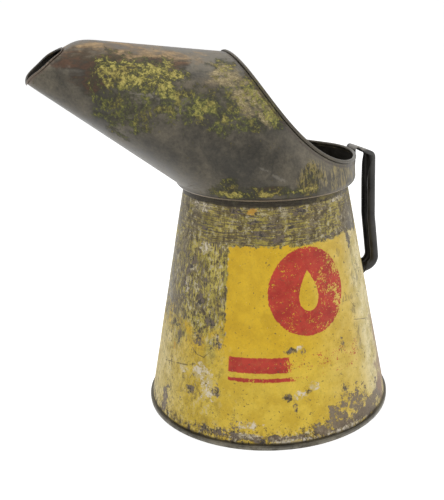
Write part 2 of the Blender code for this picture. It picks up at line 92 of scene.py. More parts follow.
# The base's outline from the top of its fold, under its foot and in to its middle
BASE_PROFILE = (
    (CHIME_RADIUS - 0.0004, CHIME_HEIGHT),
    (CHIME_RADIUS - 0.0001, CHIME_HEIGHT - 0.0005),
    (CHIME_RADIUS, CHIME_HEIGHT / 2),
    (CHIME_RADIUS - 0.0002, FOOT_ROUNDING),
    (CHIME_RADIUS - 0.001, 0),
    (COUNTERSINK_RADIUS + FOOT_ROUNDING, 0),
    (COUNTERSINK_RADIUS, FOOT_ROUNDING),
    (COUNTERSINK_RADIUS - 0.0003, BASE_RECESS - 0.0008),
    (COUNTERSINK_RADIUS - 0.0012, BASE_RECESS),
    (0.086, BASE_RECESS),
    (0.0845, BASE_RECESS - PRESSED_RING_DEPTH),
    (0.0815, BASE_RECESS - PRESSED_RING_DEPTH),
    (0.08, BASE_RECESS),
    (0.04, BASE_RECESS),
    (0.0005, BASE_RECESS),
)

# Where the hood's edge finishes start and end, as distances from the rim's wire and the mouth's lip
RIM_EDGE = (0.0014, 0.0022)
GROOVE_START = (0.0018, 0.0026)
GROOVE_END = (0.003, 0.0042)
LIP_EDGE = (0.0012, 0.0022)

# Radius at which the body's pattern is unrolled to a flat sheet
SHEET_RADIUS = 0.085

# For the tables of places and scratches, which are in millimetres
MM_PER_METRE = 1000


def only(piece):
    """Makes a piece the one that is selected and active."""
    bpy.ops.object.select_all(action="DESELECT")
    piece.select_set(True)
    bpy.context.view_layer.objects.active = piece


def edit_all():
    """Opens the active piece in edit mode with all of it selected."""
    bpy.ops.object.mode_set(mode="EDIT")
    bpy.ops.mesh.select_all(action="SELECT")


def end_edit():
    bpy.ops.object.mode_set(mode="OBJECT")


def apply_modifiers(piece):
    only(piece)
    for modifier in list(piece.modifiers):
        bpy.ops.object.modifier_apply(modifier=modifier.name)


def apply_place(piece):
    only(piece)
    bpy.ops.object.transform_apply(location=True, rotation=True, scale=True)


def add_subdivision(piece, levels):
    subdivision = piece.modifiers.new("smooth", "SUBSURF")
    subdivision.levels = levels
    subdivision.render_levels = levels


def add_wall(piece, thickness):
    """Gives an open surface its sheet thickness on its inner side, in its second material."""
    wall = piece.modifiers.new("sheet", "SOLIDIFY")
    wall.thickness = thickness
    wall.offset = -1
    wall.use_even_offset = True
    wall.material_offset = 1
    wall.material_offset_rim = 0


def add_dents(piece, strength, spread, group):
    """Soft, irregular dents where a vertex group is strong."""
    clouds = bpy.data.textures.new("dent_clouds", "CLOUDS")
    clouds.noise_scale = spread
    clouds.noise_depth = 1
    dents = piece.modifiers.new("dents", "DISPLACE")
    dents.texture = clouds
    dents.texture_coords = "GLOBAL"
    dents.strength = strength
    dents.mid_level = 0.5
    dents.vertex_group = group


def smoothstep(value, start, end):
    share = min(max((value - start) / (end - start), 0), 1)
    return share * share * (3 - 2 * share)


def drawn_ring(name, profile):
    """A wall drawn from a ring through (radius, height) points, from the top down."""
    radius, height = profile[0]
    bpy.ops.object.select_all(action="DESELECT")
    bpy.ops.mesh.primitive_circle_add(vertices=BODY_SIDES, radius=radius, location=(AXIS_X, 0, height))
    piece = bpy.context.active_object
    piece.name = name
    edit_all()
    for (before, above), (radius, height) in zip(profile, profile[1:]):
        bpy.ops.mesh.extrude_region_move(TRANSFORM_OT_translate={"value": (0, 0, height - above)})
        scale = radius / before
        bpy.ops.transform.resize(value=(scale, scale, 1), center_override=(AXIS_X, 0, height))
    bpy.ops.mesh.select_all(action="SELECT")
    bpy.ops.mesh.normals_make_consistent(inside=False)
    end_edit()
    apply_place(piece)
    face_outwards(piece)
    return piece


def face_outwards(piece):
    """Turns an open wall's faces away from the jug's axis if they look inwards."""
    score = 0
    for face in piece.data.polygons:
        score += face.area * (face.normal.x * (face.center.x - AXIS_X) + face.normal.y * face.center.y)
    if score < 0:
        only(piece)
        edit_all()
        bpy.ops.mesh.flip_normals()
        end_edit()


def shade(piece, angle=40):
    only(piece)
    bpy.ops.object.shade_smooth_by_angle(angle=math.radians(angle))


def solid_copy(node, name, *materials):
    """A copy of a CAD node with its corners joined and its triangles paired into quads."""
    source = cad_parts[node]
    piece = source.copy()
    piece.data = source.data.copy()
    piece.parent = None
    piece.name = name
    bpy.context.scene.collection.objects.link(piece)
    for key in list(piece.keys()):
        del piece[key]
    piece.data.materials.clear()
    for material in materials:
        piece.data.materials.append(material)
    only(piece)
    edit_all()
    bpy.ops.mesh.customdata_custom_splitnormals_clear()
    bpy.ops.mesh.remove_doubles(threshold=SAME_CORNER)
    bpy.ops.mesh.tris_convert_to_quads(
        face_threshold=math.radians(QUAD_BEND), shape_threshold=math.radians(QUAD_SKEW))
    bpy.ops.mesh.mark_sharp(clear=True)
    end_edit()
    return piece


def keep_outer_surface(piece):
    """Leaves only the outer side of a sheet-metal shell: the faces that are reached from
    its nearest side without turning over a cut edge."""
    mesh = piece.data
    by_edge = {}
    for face in mesh.polygons:
        for key in face.edge_keys:
            by_edge.setdefault(key, []).append(face.index)
    start = min(mesh.polygons, key=lambda face: face.center.y)
    if start.normal.y > 0:
        raise ValueError("the nearest face looks inwards")
    kept = {start.index}
    waiting = [start.index]
    while waiting:
        face = mesh.polygons[waiting.pop()]
        for other in {other for key in face.edge_keys for other in by_edge[key]} - kept:
            if face.normal.angle(mesh.polygons[other].normal, 0) < math.radians(CUT_EDGE_TURN):
                kept.add(other)
                waiting.append(other)
    only(piece)
    bpy.ops.object.mode_set(mode="EDIT")
    bpy.ops.mesh.select_all(action="DESELECT")
    end_edit()
    for face in mesh.polygons:
        face.select = face.index not in kept
    bpy.ops.object.mode_set(mode="EDIT")
    bpy.ops.mesh.delete(type="FACE")
    end_edit()


def cone_radius(height):
    share = (height - CHIME_HEIGHT) / (SHOULDER_HEIGHT - CHIME_HEIGHT)
    return BASE_RADIUS + share * (NECK_RADIUS - BASE_RADIUS)


def make_body(paint, inside):
    profile = [(NECK_RADIUS, NECK_TOP)]
    for i in range(BODY_RINGS + 1):
        height = SHOULDER_HEIGHT + (CHIME_HEIGHT - SHOULDER_HEIGHT) * i / BODY_RINGS
        profile.append((cone_radius(height), height))
    profile += [(BASE_RADIUS, FLANGE_TOP), (FLANGE_RADIUS, FLANGE_TOP)]
    body = drawn_ring("body_cone", profile)
    sides = body.vertex_groups.new(name="sides")
    for vertex in body.data.vertices:
        height = vertex.co.z
        weight = smoothstep(height, CHIME_HEIGHT, CHIME_HEIGHT + BODY_DENT_MARGIN)
        weight *= smoothstep(-height, -SHOULDER_HEIGHT, BODY_DENT_MARGIN - SHOULDER_HEIGHT)
        sides.add([vertex.index], weight, "REPLACE")
    body.data.materials.append(paint)
    body.data.materials.append(inside)
    add_dents(body, BODY_DENT, BODY_DENT_SPREAD, "sides")
    add_wall(body, BODY_SHEET)
    apply_modifiers(body)
    shade(body)
    return body


def make_side_seam(paint):
    """The folded seam that closes the cone on its far side."""
    low, high = CHIME_HEIGHT + SEAM_ENDS, SHOULDER_HEIGHT - SEAM_ENDS
    run = cone_radius(low) - cone_radius(high)
    middle = (low + high) / 2
    bpy.ops.object.select_all(action="DESELECT")
    bpy.ops.mesh.primitive_cube_add(size=1, location=(AXIS_X, cone_radius(middle) + SEAM_PROUD, middle),
                                    rotation=(math.atan2(run, high - low), 0, 0))
    seam = bpy.context.active_object
    seam.name = "side_seam"
    seam.scale = (SEAM_WIDTH, SEAM_THICKNESS, math.hypot(high - low, run))
    apply_place(seam)
    edit_all()
    bpy.ops.mesh.bevel(offset=SEAM_ROUNDING, segments=3, affect="EDGES")
    end_edit()
    seam.data.materials.append(paint)
    shade(seam)
    return seam


def open_edge_corners(piece):
    """Vertices on the edges of an open surface."""
    faces_at = {}
    for face in piece.data.polygons:
        for key in face.edge_keys:
            faces_at[key] = faces_at.get(key, 0) + 1
    return {corner for key, count in faces_at.items() if count == 1 for corner in key}


def mouth_lip(hood):
    """A search tree of the corners round the open surface's mouth."""
    corners = [hood.data.vertices[i].co for i in open_edge_corners(hood)]
    corners = [corner for corner in corners if corner.x < MOUTH_REACH]
    lip = KDTree(len(corners))
    for i, corner in enumerate(corners):
        lip.insert(corner, i)
    lip.balance()
    return lip


def make_hood(steel, inside):
    hood = solid_copy("hood", "hood_sheet", steel, inside)
    keep_outer_surface(hood)
    lip = mouth_lip(hood)
    add_subdivision(hood, 2)
    add_wall(hood, HOOD_SHEET)
    apply_modifiers(hood)
    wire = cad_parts["rear_rim_wire"].data
    wire = BVHTree.FromPolygons([vertex.co for vertex in wire.vertices],
                                [face.vertices for face in wire.polygons])
    from_wire = [wire.find_nearest(vertex.co)[3] for vertex in hood.data.vertices]
    from_lip = [lip.find(vertex.co)[2] for vertex in hood.data.vertices]
    # The second attribute marks the groove beside the rolled rim, where shade is painted.
    for name, values in (
        ("rim", [1 - smoothstep(away, *RIM_EDGE) for away in from_wire]),
        ("groove_shade", [smoothstep(away, *GROOVE_START) - smoothstep(away, *GROOVE_END)
                    for away in from_wire]),
        ("lip", [1 - smoothstep(away, *LIP_EDGE) for away in from_lip]),
    ):
        attribute = hood.data.attributes.new(name, "FLOAT", "POINT")
        attribute.data.foreach_set("value", values)
    for face in hood.data.polygons:
        furthest = max(min(from_wire[i], from_lip[i]) for i in face.vertices)
        if face.material_index and furthest < LIP_EDGE[1]:
            face.material_index = 0
    shade(hood, 50)
    return hood


def make_base(steel):
    base = drawn_ring("base_pan", BASE_PROFILE)
    only(base)
    edit_all()
    bpy.ops.mesh.fill_holes(sides=0)
    end_edit()
    base.data.materials.append(steel)
    shade(base)
    return base


def make_handle(enamel):
    handle = solid_copy("handle", "handle_strap", enamel)
    add_subdivision(handle, 2)
    apply_modifiers(handle)
    shade(handle, 60)
    return handle


def make_solder_pad(node, name, solder):
    pad = solid_copy(node, name, solder)
    bevel = pad.modifiers.new("edges", "BEVEL")
    bevel.width = PAD_ROUNDING
    bevel.segments = 2
    apply_modifiers(pad)
    shade(pad)
    return pad


# Shader nodes. Helpers find the node tree that they add to from the sockets they are given.

def add_node(tree, kind, inputs=(), **settings):
    """Adds a node with its settings, and sets or joins its inputs by name or number."""
    node = tree.nodes.new(kind)
    for name, value in settings.items():
        setattr(node, name, value)
    for name, value in dict(inputs).items():
        if isinstance(value, bpy.types.NodeSocket):
            join(value, node.inputs[name])
        else:
            node.inputs[name].default_value = value
    return node


def join(value, socket):
    socket.id_data.links.new(value, socket)


def home_tree(values):
    """The node tree that the sockets among some values belong to."""
    return next(value.id_data for value in values if isinstance(value, bpy.types.NodeSocket))


def calc(operation, *values):
    """The result of a Math node."""
    node = add_node(home_tree(values), "ShaderNodeMath", dict(enumerate(values)), operation=operation)
    return node.outputs[0]


def plus(value, more):
    return calc("ADD", value, more)


def less(value, part):
    return calc("SUBTRACT", value, part)


def times(*masks):
    total = masks[0]
    for mask in masks[1:]:
        total = calc("MULTIPLY", total, mask)
    return total


def most(*masks):
    """The strongest of several masks."""
    total = masks[0]
    for mask in masks[1:]:
        total = calc("MAXIMUM", total, mask)
    return total


def either(*masks):
    """Masks added up, no higher than 1."""
    total = masks[0]
    for mask in masks[1:]:
        total = plus(total, mask)
    return calc("MINIMUM", total, 1.0)


def share_of_one(value):
    """A value kept between 0 and 1."""
    return calc("MINIMUM", calc("MAXIMUM", value, 0.0), 1.0)


def vector_node(operation, *values):
    """The outputs of a Vector Math node: a vector and a number."""
    return add_node(home_tree(values), "ShaderNodeVectorMath", dict(enumerate(values)),
                    operation=operation).outputs


def scaled(vector, scale):
    return vector_node("MULTIPLY", vector, scale)[0]


def lengthened(vector, factor):
    node = add_node(vector.id_data, "ShaderNodeVectorMath", {0: vector, "Scale": factor},
                    operation="SCALE")
    return node.outputs[0]


def blend(share, under, over):
    """A colour between two others."""
    node = add_node(home_tree((share, under, over)), "ShaderNodeMix", {0: share, 6: under, 7: over},
                    data_type="RGBA")
    return node.outputs[2]


def layered(colour, *layers):
    """A colour with others laid over it, each by its own share."""
    for share, over in layers:
        colour = blend(share, colour, over)
    return colour


def mix_values(share, low, high):
    node = add_node(home_tree((share, low, high)), "ShaderNodeMix", {0: share, 2: low, 3: high},
                    data_type="FLOAT")
    return node.outputs[0]


def rise(value, start, end):
    """A value's smooth rise from 0 at start to 1 at end."""
    node = add_node(value.id_data, "ShaderNodeMapRange", {
        "Value": value, "From Min": start, "From Max": end}, interpolation_type="SMOOTHSTEP")
    return node.outputs[0]


def within(value, low, high, edge):
    """1 between two values and 0 outside them."""
    return times(rise(value, low - edge, low + edge), rise(value, high + edge, high - edge))


def noise(vector, scale, detail=5.0, roughness=0.6, distortion=0.0):
    node = add_node(vector.id_data, "ShaderNodeTexNoise", {
        "Vector": vector, "Scale": scale, "Detail": detail, "Roughness": roughness,
        "Distortion": distortion,
    })
    return node.outputs["Fac"]


def rgb(red, green, blue):
    """A colour from its three levels between 0 and 255 on a screen."""
    levels = []
    for level in (red, green, blue):
        share = level / 255
        levels.append(share / 12.92 if share <= 0.04045 else ((share + 0.055) / 1.055) ** 2.4)
    return (*levels, 1.0)


def new_group(name, inputs, outputs):
    """A shader node group, with the sockets of its inputs and its output node."""
    tree = bpy.data.node_groups.new(name, "ShaderNodeTree")
    for label, kind, value in inputs:
        socket = tree.interface.new_socket(name=label, in_out="INPUT", socket_type="NodeSocket" + kind)
        if value is not None:
            socket.default_value = value
    for label, kind in outputs:
        tree.interface.new_socket(name=label, in_out="OUTPUT", socket_type="NodeSocket" + kind)
    given = tree.nodes.new("NodeGroupInput").outputs[:len(inputs)]
    return tree, given, tree.nodes.new("NodeGroupOutput")


def give(out, *values):
    """Joins values to the sockets of a group's output node, in order."""
    for value, socket in zip(values, out.inputs):
        join(value, socket)


def use_group(group, **inputs):
    """The outputs of a group that is placed with its own values."""
    return add_node(home_tree(inputs.values()), "ShaderNodeGroup", inputs, node_tree=group).outputs


def jug_place_group():
    """Where a point lies: from the axis, on the unrolled sheet, and its angle and height."""
    tree, _, out = new_group("jug_place", [], [
        ("Place", "Vector"), ("Sheet", "Vector"), ("Angle", "Float"), ("Height", "Float")])
    place = add_node(tree, "ShaderNodeTexCoord").outputs["Object"]
    centred = vector_node("SUBTRACT", place, (AXIS_X, 0, 0))[0]
    x, y, z = add_node(tree, "ShaderNodeSeparateXYZ", {0: centred}).outputs
    turn = calc("ARCTAN2", x, times(y, -1.0))
    sheet = add_node(tree, "ShaderNodeCombineXYZ", {0: times(turn, SHEET_RADIUS), 1: z})
    give(out, centred, sheet.outputs[0], calc("DEGREES", turn), z)
    return tree


def flecks_group():
    """Irregular flecks that cover a share of the surface."""
    tree, (vector, scale, cover, detail, softness), out = new_group("flecks", [
        ("Vector", "Vector", None), ("Scale", "Float", 300.0), ("Cover", "Float", 0.3),
        ("Detail", "Float", 6.0), ("Softness", "Float", 0.02)], [("Mask", "Float")])
    edge = mix_values(cover, 0.72, 0.3)
    level = noise(vector, scale, detail, 0.65)
    give(out, rise(level, less(edge, softness), plus(edge, softness)))
    return tree


def patch_group():
    """A patch round a place, its edge pushed in and out by an unevenness."""
    tree, (vector, centre, reach, unevenness), out = new_group("patch", [
        ("Vector", "Vector", None), ("Centre", "Vector", None), ("Reach", "Vector", (0.02, 0.02, 0.02)),
        ("Unevenness", "Float", 0.0)], [("Mask", "Float")])
    away = vector_node("DIVIDE", vector_node("SUBTRACT", vector, centre)[0], reach)[0]
    distance = plus(vector_node("LENGTH", away)["Value"], unevenness)
    give(out, rise(distance, 1.2, 0.6))
    return tree


def worn_coat_group():
    """What shows at a place, from bare metal to whole enamel, by how much coat is left there."""
    tree, (left, bare, primer, thin, whole), out = new_group("worn_coat", [
        ("Left", "Float", 0.0), ("Bare", "Color", None), ("Primer", "Color", None),
        ("Thin", "Color", None), ("Whole", "Color", None)], [("Colour", "Color"), ("Coat", "Float")])
    colour = layered(bare, (rise(left, -0.034, -0.024), primer), (rise(left, -0.008, 0.002), thin),
                     (rise(left, 0.012, 0.024), whole))
    give(out, colour, rise(left, -0.01, 0.004))
    return tree


def scratch_group():
    """A fine, slightly wandering scratch from one place to another."""
    tree, (vector, start, end, width, wander), out = new_group("scratch", [
        ("Vector", "Vector", None), ("From", "Vector", None), ("To", "Vector", None),
        ("Width", "Float", 0.0006), ("Wander", "Float", 0.003)], [("Mask", "Float")])
    drift = add_node(tree, "ShaderNodeTexNoise", {"Vector": vector, "Scale": 70.0, "Detail": 3.0})
    drift = vector_node("SUBTRACT", drift.outputs["Color"], (0.5, 0.5, 0.5))[0]
    vector = vector_node("ADD", vector, lengthened(drift, wander))[0]
    reached = vector_node("SUBTRACT", vector, start)[0]
    whole = vector_node("SUBTRACT", end, start)[0]
    along = vector_node("DOT_PRODUCT", reached, whole)["Value"]
    share = share_of_one(calc("DIVIDE", along, vector_node("DOT_PRODUCT", whole, whole)["Value"]))
    distance = vector_node("DISTANCE", reached, lengthened(whole, share))["Value"]
    broken = rise(noise(vector, 260.0, 4.0), 0.38, 0.5)
    give(out, times(rise(distance, width, times(width, 0.3)), broken))
    return tree


def fine_grain_group():
    """A colour broken up by fine grain, with a slower drift under it."""
    tree, (colour, vector, amount), out = new_group("fine_grain", [
        ("Colour", "Color", None), ("Vector", "Vector", None), ("Amount", "Float", 0.25)],
        [("Colour", "Color")])
    tone = mix_values(0.45, noise(vector, 620.0, 5.0, 0.75), noise(vector, 130.0, 4.0))
    give(out, lengthened(colour, plus(1.0, times(less(tone, 0.5), times(amount, 4.0)))))
    return tree


def old_steel_group():
    """Dull, mottled steel, from large clouds of tarnish down to fine grain."""
    tree, (vector, dark, light, rust, rusting), out = new_group("old_steel", [
        ("Vector", "Vector", None), ("Dark", "Color", rgb(58, 55, 49)),
        ("Light", "Color", rgb(98, 94, 86)), ("Rust", "Color", rgb(92, 66, 42)),
        ("Rusting", "Float", 0.2)],
        [("Colour", "Color"), ("Roughness", "Float"), ("Height", "Float")])
    clouds = noise(vector, 20.0, 4.0, 0.6, 0.4)
    blotches = noise(vector, 85.0, 5.0, 0.65)
    grain = noise(vector, 480.0, 4.0, 0.7)
    tone = mix_values(0.4, clouds, mix_values(0.45, blotches, grain))
    colour = blend(rise(tone, 0.38, 0.64), dark, light)
    edge = mix_values(rusting, 0.8, 0.42)
    rusty = times(rise(noise(vector, 70.0, 7.0, 0.72), edge, plus(edge, 0.1)), 0.75)
    give(out, blend(rusty, colour, rust), mix_values(rise(tone, 0.35, 0.65), 0.34, 0.56),
         mix_values(0.5, grain, blotches))
    return tree


def new_material(name):
    material = bpy.data.materials.new(name)
    material.use_nodes = True
    return material, material.node_tree.nodes["Principled BSDF"]


def jug_place(shader):
    """Where a point lies: from the axis, on the unrolled sheet, and its angle and height."""
    return add_node(shader.id_data, "ShaderNodeGroup", node_tree=JUG_PLACE).outputs


def finish_surface(shader, colour, roughness, height, depth, metallic=None):
    join(colour, shader.inputs["Base Color"])
    join(roughness, shader.inputs["Roughness"])
    bump = add_node(shader.id_data, "ShaderNodeBump", {"Height": height, "Distance": depth})
    join(bump.outputs[0], shader.inputs["Normal"])
    if metallic is not None:
        join(metallic, shader.inputs["Metallic"])


def from_axis(places):
    """Middles and reaches of places on the hood, from millimetres."""
    for place in places:
        sizes = [size / MM_PER_METRE for size in place]
        yield sizes[:3], sizes[3:]


def sheet_point(angle, height):
    return math.radians(angle) * SHEET_RADIUS, height / MM_PER_METRE, 0


def on_sheet(places):
    """Middles and reaches of places on the body, as points on the unrolled sheet."""
    for angle, height, width, tall in places:
        yield sheet_point(angle, height), (width / MM_PER_METRE, tall / MM_PER_METRE, 1)


def patches(vector, places, grain, ragged):
    """Ragged patches at several places."""
    unevenness = times(less(noise(vector, grain, 5.0, 0.7), 0.5), ragged * 3.0)
    return most(*[
        use_group(PATCH, Vector=vector, Centre=centre, Reach=reach, Unevenness=unevenness)["Mask"]
        for centre, reach in places])


def hood_lines(lines):
    """Ends and widths of scratches on the hood, from millimetres."""
    for *ends, width in lines:
        yield *[[size / MM_PER_METRE for size in end] for end in ends], width / MM_PER_METRE


def body_lines(lines):
    """Ends and widths of scratches on the body, as points on the unrolled sheet."""
    for start, end, width in lines:
        yield sheet_point(*start), sheet_point(*end), width / MM_PER_METRE


def scratches(vector, lines):
    return most(*[use_group(SCRATCH, Vector=vector, From=start, To=end, Width=width)["Mask"]
                  for start, end, width in lines])


def flecks(vector, scale, cover, detail, softness):
    return use_group(FLECKS, Vector=vector, Scale=scale, Cover=cover, Detail=detail,
                     Softness=softness)["Mask"]


def grained(colour, vector, amount):
    return use_group(FINE_GRAIN, Colour=colour, Vector=vector, Amount=amount)[0]


# Places on the hood, from the jug's axis: middle and reach along each axis
OLD_PAINT_PLACES = (
    (-124, -31, 292, 14, 30, 10), (-116, -38, 284, 14, 30, 9), (-99, -41, 288, 12, 30, 6),
    (-90, -45, 284, 16, 30, 10), (-90, -50, 274, 10, 30, 5), (-66, -59, 262, 10, 20, 6),
    (-52, -63, 257, 14, 20, 5), (-43, -30, 289, 10, 20, 6), (-29, -50, 272, 6, 20, 10),
    (-18, -61, 257, 6, 20, 10), (-12, -64, 250, 6, 20, 6), (-52, -53, 197.2, 13, 20, 2.8),
    (-22, -72, 197.5, 8, 20, 2.2), (9, -73, 198.5, 12, 20, 2.8),
)
THIN_PAINT_PLACES = (
    (-106, -42, 280, 34, 30, 18), (-118, -42, 262, 24, 30, 18), (-82, -55, 266, 26, 30, 14),
    (-36, -48, 272, 18, 30, 22), (-40, -66, 250, 24, 30, 7), (-20, -58, 262, 14, 30, 22),
    (-35, -70, 199, 50, 30, 6), (12, -72, 205, 10, 30, 12), (-50, -58, 207, 8, 30, 6),
)
STREAKED_PLACES = (
    (14, -70, 207, 16, 30, 12), (36, -62, 204, 22, 40, 10), (58, -44, 204, 22, 40, 12),
    (70, -10, 202, 10, 50, 10),
)
RUBBED_PLACES = (
    (-44, -40, 282, 13, 30, 9), (-31, -52, 268, 13, 30, 12), (-20, -61, 257, 8, 30, 10),
)
# Tan places along the top: stains that are partly a painted highlight
TAN_SHEEN_PLACES = (
    (-136, -16, 302, 24, 30, 7), (-108, -22, 299, 28, 30, 7), (-84, -31, 294, 20, 30, 6),
)
RUST_PLACES = (
    (-154, -21, 298, 14, 20, 9), (-142, -25, 295, 18, 20, 10), (-136, -31, 284, 15, 20, 10),
    (-124, -27, 297, 10, 20, 3), (-92, -32, 294, 12, 20, 3), (-78, -36, 291, 10, 20, 3),
    (-22, -72, 202.5, 9, 20, 2.2),
)

# Scratches on the hood: both ends, from the axis, and the width
HOOD_SCRATCHES = (
    ((-30, -73, 219), (-24, -73, 216), 1.2), ((-24, -73, 216), (-18, -74, 211.8), 1.4),
    ((-18, -74, 211.8), (-12, -74, 207.5), 2),
)

# Heights on the hood: the folded band at its foot, the creases over and under it, the ridge,
# and the greener paint between them
BAND = (0.1912, 0.193)
OVER_BAND = (0.1934, 0.1942)
UNDER_BAND = (0.1911, 0.1907)
BAND_EDGE = 0.0002
RIDGE = (0.27, 0.295)
GREENER_TOP = (0.284, 0.266)
GREENER_FOOT = (0.235, 0.245)

# Where the painted shade at the hood's creases and the body's seams is fainter, at the near right side:
# first angle, last angle and edge
FAINT_SHADE_HOOD = (12.0, 110.0, 10.0)
FAINT_SHADE_BODY = (16.0, 90.0, 8.0)

# Where the chime and the handle's upper bend are rubbed, as heights
RUBBED_CHIME = (0.0036, 0.002)
RUBBED_BEND = (0.2095, 0.2125)

# How deep the grain of the steel and of the body's coat looks
STEEL_RELIEF = 0.0001
COAT_RELIEF = 0.00013


def hood_material():
    material, shader = new_material("hood_weathered_steel")
    at, _, angle, height = jug_place(shader)
    metal, metal_roughness, metal_relief = use_group(
        OLD_STEEL, Vector=at, Dark=rgb(45, 42, 35), Light=rgb(94, 87, 73), Rusting=0.1)

    # Tan and rusty stains along the ridge. The tan is partly a painted highlight, which grows towards
    # the top of the hood.
    stains = noise(scaled(at, (0.6, 1.0, 1.8)), 90.0, 6.0, 0.62)
    ridge_sheen = times(rise(height, *RIDGE), rise(noise(at, 30.0, 4.0), 0.5, 0.6))
    tan_stain_and_sheen = most(patches(at, from_axis(TAN_SHEEN_PLACES), 60.0, 1.0), times(ridge_sheen, 0.6))
    tan_stain_and_sheen = times(tan_stain_and_sheen, rise(stains, 0.2, 0.6))
    tan_colour = blend(rise(stains, 0.4, 0.6), rgb(104, 84, 58), rgb(152, 126, 88))
    rust = times(patches(at, from_axis(RUST_PLACES), 90.0, 0.8), rise(stains, 0.3, 0.5))
    rust_colour = blend(rise(stains, 0.44, 0.58), rgb(46, 37, 26), rgb(74, 48, 31))
    colour = layered(metal, (times(tan_stain_and_sheen, 0.9), tan_colour), (times(rust, 0.85), rust_colour))

    # What is left of an olive coat, with grime that has settled between its crumbs
    clumps = noise(at, 150.0, 5.0, 0.65)
    dense = patches(at, from_axis(OLD_PAINT_PLACES), 110.0, 1.2)
    thin = patches(at, from_axis(THIN_PAINT_PLACES), 80.0, 1.2)
    side = add_node(shader.id_data, "ShaderNodeSeparateXYZ", {0: at}).outputs["Y"]
    far_side = times(rise(side, 0.006, 0.03), rise(noise(at, 24.0, 4.0), 0.49, 0.58))
    thin = most(thin, far_side)
    dense = most(dense, times(far_side, rise(clumps, 0.42, 0.56), 0.6))
    coated = most(dense, thin)
    grime = times(coated, rise(stains, 0.36, 0.54))
    drips = noise(scaled(at, (560.0, 560.0, 260.0)), 1.0, 5.0, 0.7)
    crumbs = noise(at, 420.0, 5.0, 0.72)
    pattern = mix_values(0.3, mix_values(0.4, crumbs, drips), clumps)
    amount = either(times(dense, 0.5), times(thin, 0.56))
    left = less(pattern, mix_values(amount, 0.6, 0.432))
    olive = blend(rise(left, 0.0, 0.08), rgb(54, 55, 28), rgb(119, 112, 51))
    greener = times(rise(height, *GREENER_TOP), rise(height, *GREENER_FOOT))
    browned = rise(noise(at, 75.0, 4.0), 0.5, 0.62)
    olive = layered(olive, (rise(left, 0.05, 0.13), rgb(168, 156, 84)),
                    (times(greener, 0.42), rgb(92, 96, 46)), (times(browned, 0.2), rgb(112, 84, 44)))
    paint = rise(left, -0.045, 0.03)
    pits = rise(noise(at, 330.0, 4.0), 0.545, 0.59)
    rubbed = times(patches(at, from_axis(RUBBED_PLACES), 90.0, 1.0), rise(stains, 0.34, 0.5))
    rubbed = times(rubbed, rise(left, 0.06, 0.02))
    tan_crumbs = blend(rise(crumbs, 0.42, 0.58), rgb(124, 110, 80), rgb(172, 156, 116))
    colour = layered(colour, (times(grime, 0.7), rgb(42, 40, 24)), (paint, olive),
                     (times(coated, pits, 0.7), rgb(42, 40, 25)), (times(rubbed, 0.8), tan_crumbs))

    # Upright streaks on the collar
    upright = noise(scaled(at, (520.0, 520.0, 75.0)), 1.0, 5.0, 0.7)
    streaked = patches(at, from_axis(STREAKED_PLACES), 80.0, 1.0)
    colour = layered(colour, (times(streaked, rise(upright, 0.48, 0.57), 0.7), rgb(134, 120, 76)),
                     (times(streaked, rise(upright, 0.48, 0.42), 0.5), rgb(56, 50, 38)))

    # Scratches, a painted highlight on the folded band at the foot, painted shade in the creases over
    # and under it and in the groove beside the rolled rim, and the rolled edges
    marks = times(scratches(at, hood_lines(HOOD_SCRATCHES)), 0.2)
    # Painted highlight on the folded band, which lies in its own shade.
    band_highlight = within(height, *BAND, BAND_EDGE)
    # Painted shade in the creases over and under the band, fainter at the near right side.
    crease_shade = either(within(height, *OVER_BAND, BAND_EDGE), rise(height, *UNDER_BAND))
    crease_shade = times(crease_shade, mix_values(within(angle, *FAINT_SHADE_HOOD), 0.88, 0.3))
    rim, groove_shade, lip = [
        add_node(shader.id_data, "ShaderNodeAttribute", attribute_name=name).outputs["Fac"]
        for name in ("rim", "groove_shade", "lip")]
    polished = rise(noise(at, 240.0, 5.0), 0.4, 0.6)
    lip_colour = blend(rise(side, 0.0, -0.004), rgb(38, 33, 28), rgb(100, 86, 74))
    colour = layered(colour, (marks, rgb(146, 140, 130)), (times(band_highlight, 0.9), rgb(152, 138, 120)),
                     # Painted shade in the creases and in the groove beside the rolled rim.
                     (crease_shade, rgb(38, 31, 19)), (times(groove_shade, 0.8), rgb(52, 38, 24)),
                     (times(rim, mix_values(polished, 0.5, 0.9)), rgb(74, 68, 58)),
                     (times(lip, 0.75), lip_colour))

    dull = either(paint, times(tan_stain_and_sheen, 0.8), rust, grime, rubbed)
    join(mix_values(dull, 0.25, 0.0), shader.inputs["Coat Weight"])
    shader.inputs["Specular IOR Level"].default_value = 0.35
    shader.inputs["Coat Roughness"].default_value = 0.35
    finish_surface(shader, grained(colour, at, 0.4), mix_values(dull, metal_roughness, 0.7),
                   either(times(paint, 0.5), times(metal_relief, 0.5)), STEEL_RELIEF,
                   mix_values(either(dull, groove_shade), 0.6, 0.0))
    return material


def plain_metal(name, relief, metallic, **finish):
    """Bare, unpainted metal in one of its finishes."""
    material, shader = new_material(name)
    colour, roughness, height = use_group(OLD_STEEL, Vector=jug_place(shader)["Place"], **finish)
    shader.inputs["Metallic"].default_value = metallic
    finish_surface(shader, colour, roughness, height, relief)
    return material


def base_material():
    material, shader = new_material("base_dark_steel")
    at, _, _, height = jug_place(shader)
    metal, roughness, relief = use_group(
        OLD_STEEL, Vector=at, Dark=rgb(54, 50, 41), Light=rgb(106, 100, 85), Rusting=0.4)
    worn = times(rise(height, *RUBBED_CHIME), rise(noise(at, 120.0, 5.0), 0.36, 0.52))
    colour = blend(times(worn, 0.45), metal, rgb(140, 136, 124))
    shader.inputs["Metallic"].default_value = 0.4
    finish_surface(shader, grained(colour, at, 0.3), roughness, relief, STEEL_RELIEF)
    return material


